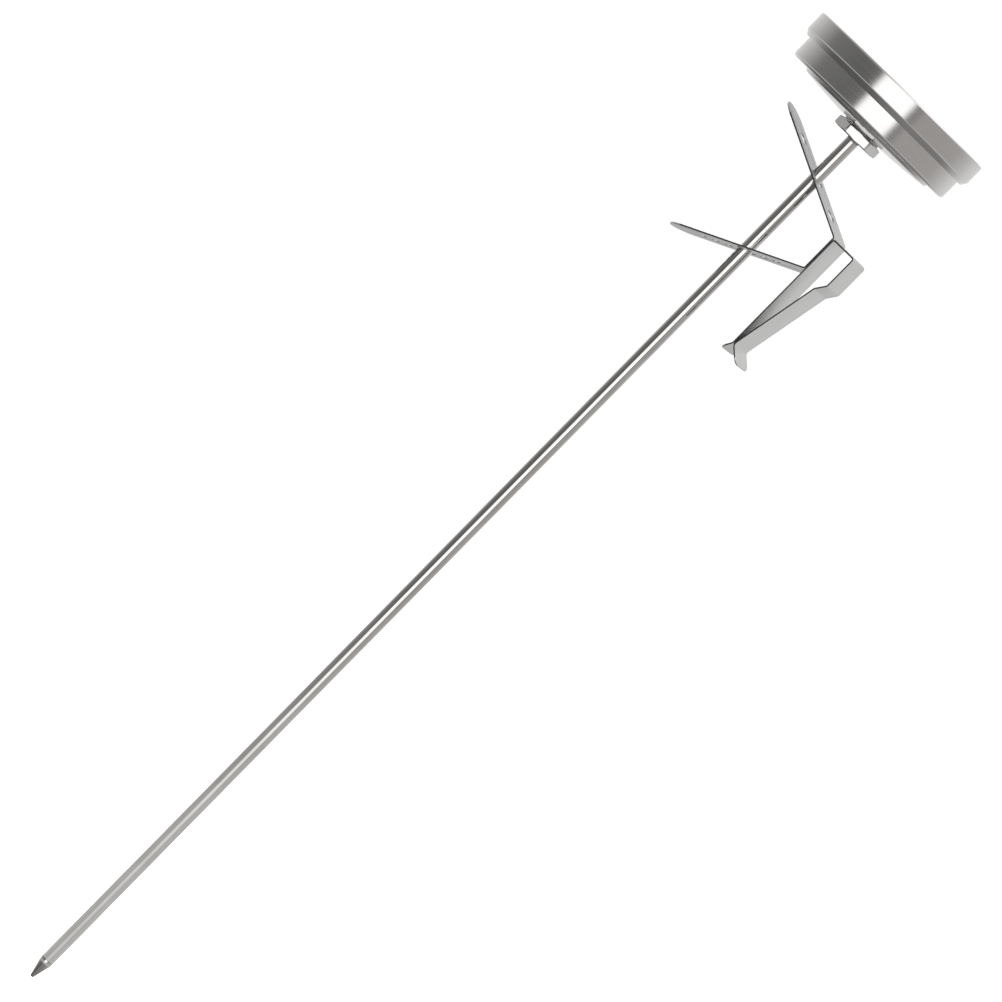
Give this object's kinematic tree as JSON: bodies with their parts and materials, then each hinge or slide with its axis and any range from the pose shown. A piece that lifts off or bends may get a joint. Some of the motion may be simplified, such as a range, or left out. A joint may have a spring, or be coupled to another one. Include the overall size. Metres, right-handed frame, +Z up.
{
  "type": "dial thermometer",
  "caption": "Bimetal dial thermometer with a long pointed stem, a round steel case facing up, and a sprung clip that slides on the stem and grips a pot's rim.",
  "frame": {"origin": "middle of the flat underside of the clip's bridge, where the clip sits on a pot's rim", "axes": "+Z up along the stem, towards the dial; +X from the stem towards the clip, which is 6 o'clock on the dial"},
  "size_m": [0.0558, 0.0558, 0.3175],
  "materials": {
    "sheet_steel": "rolled sheet, satin",
    "stem_steel": "drawn tube, bright satin",
    "turned_steel": "turned, fine circular grain",
    "spring_steel": "plain strip",
    "brass": "turned",
    "dial_white": "satin white paint with printed scale",
    "pointer_red": "satin red paint",
    "cap_cream": "moulded",
    "spacer_grey": "moulded",
    "gasket_rubber": "moulded",
    "lens_glass": "clear, flat"
  },
  "bodies": {
    "clip": {"bracket_back": "sheet_steel", "pan_clip": "sheet_steel"},
    "clip_upper_arm": {"upper_arm": "sheet_steel"},
    "clip_lower_arm": {"lower_arm": "sheet_steel"},
    "clip_jaw": {"pan_clip_jaw": "sheet_steel"},
    "stem_point": {"stem_point": "stem_steel"},
    "stem": {"stem_tube": "stem_steel", "stem_hub": "stem_steel", "helix_anchor": "brass", "bimetal_helix": "spring_steel", "lower_guide_bush": "brass", "middle_guide_bush": "brass", "upper_guide_bush": "brass", "hex_nut": "turned_steel", "lock_nut": "stem_steel"},
    "case": {"back_seal": "gasket_rubber", "case_shell": "turned_steel", "spring_washer": "spring_steel", "dial_plate": "dial_white", "dial_spacer_ring": "spacer_grey", "lens": "lens_glass", "lens_gasket": "gasket_rubber", "bezel_ring": "turned_steel"},
    "pointer": {"pointer_shaft": "stem_steel", "helix_collar": "brass", "pointer_bush": "brass", "pointer": "pointer_red", "pointer_cap": "cap_cream"}
  },
  "joints": [
    {"name": "upper_arm_squeeze", "type": "hinge", "parent": "clip", "child": "clip_upper_arm", "pos_m": [-0.00475, 0, 0.00021], "axis": [0, -1, 0], "range_deg": [0, 8], "stiffness_Nm_per_rad": 0.4},
    {"name": "lower_arm_squeeze", "type": "hinge", "parent": "clip", "child": "clip_lower_arm", "pos_m": [-0.00475, 0, -0.00951], "axis": [0, 1, 0], "range_deg": [0, 8]},
    {"name": "jaw_open", "type": "hinge", "parent": "clip", "child": "clip_jaw", "pos_m": [0.0031, 0, -0.0004], "axis": [0, -1, 0], "range_deg": [0, 8], "stiffness_Nm_per_rad": 0.4},
    {"name": "clip_slide", "type": "slide", "parent": "clip", "child": "stem_point", "axis": [0, 0, 1], "range_m": [-0.008, 0.25]},
    {"name": "stem_swivel", "type": "hinge", "parent": "stem_point", "child": "stem", "pos_m": [-0.0209, 0, 0], "axis": [0, 0, 1], "continuous": true},
    {"name": "case_turn", "type": "hinge", "parent": "stem", "child": "case", "pos_m": [-0.0209, 0, 0.026], "axis": [0, 0, 1], "continuous": true},
    {"name": "pointer_turn", "type": "hinge", "parent": "stem", "child": "pointer", "pos_m": [-0.0209, 0, 0.033], "axis": [0, 0, 1], "range_deg": [-44.6, 226.1], "stiffness_Nm_per_rad": 0.0001}
  ],
  "couplings": [
    {"joint": "lower_arm_squeeze", "follows": "upper_arm_squeeze", "ratio": 1}
  ]
}
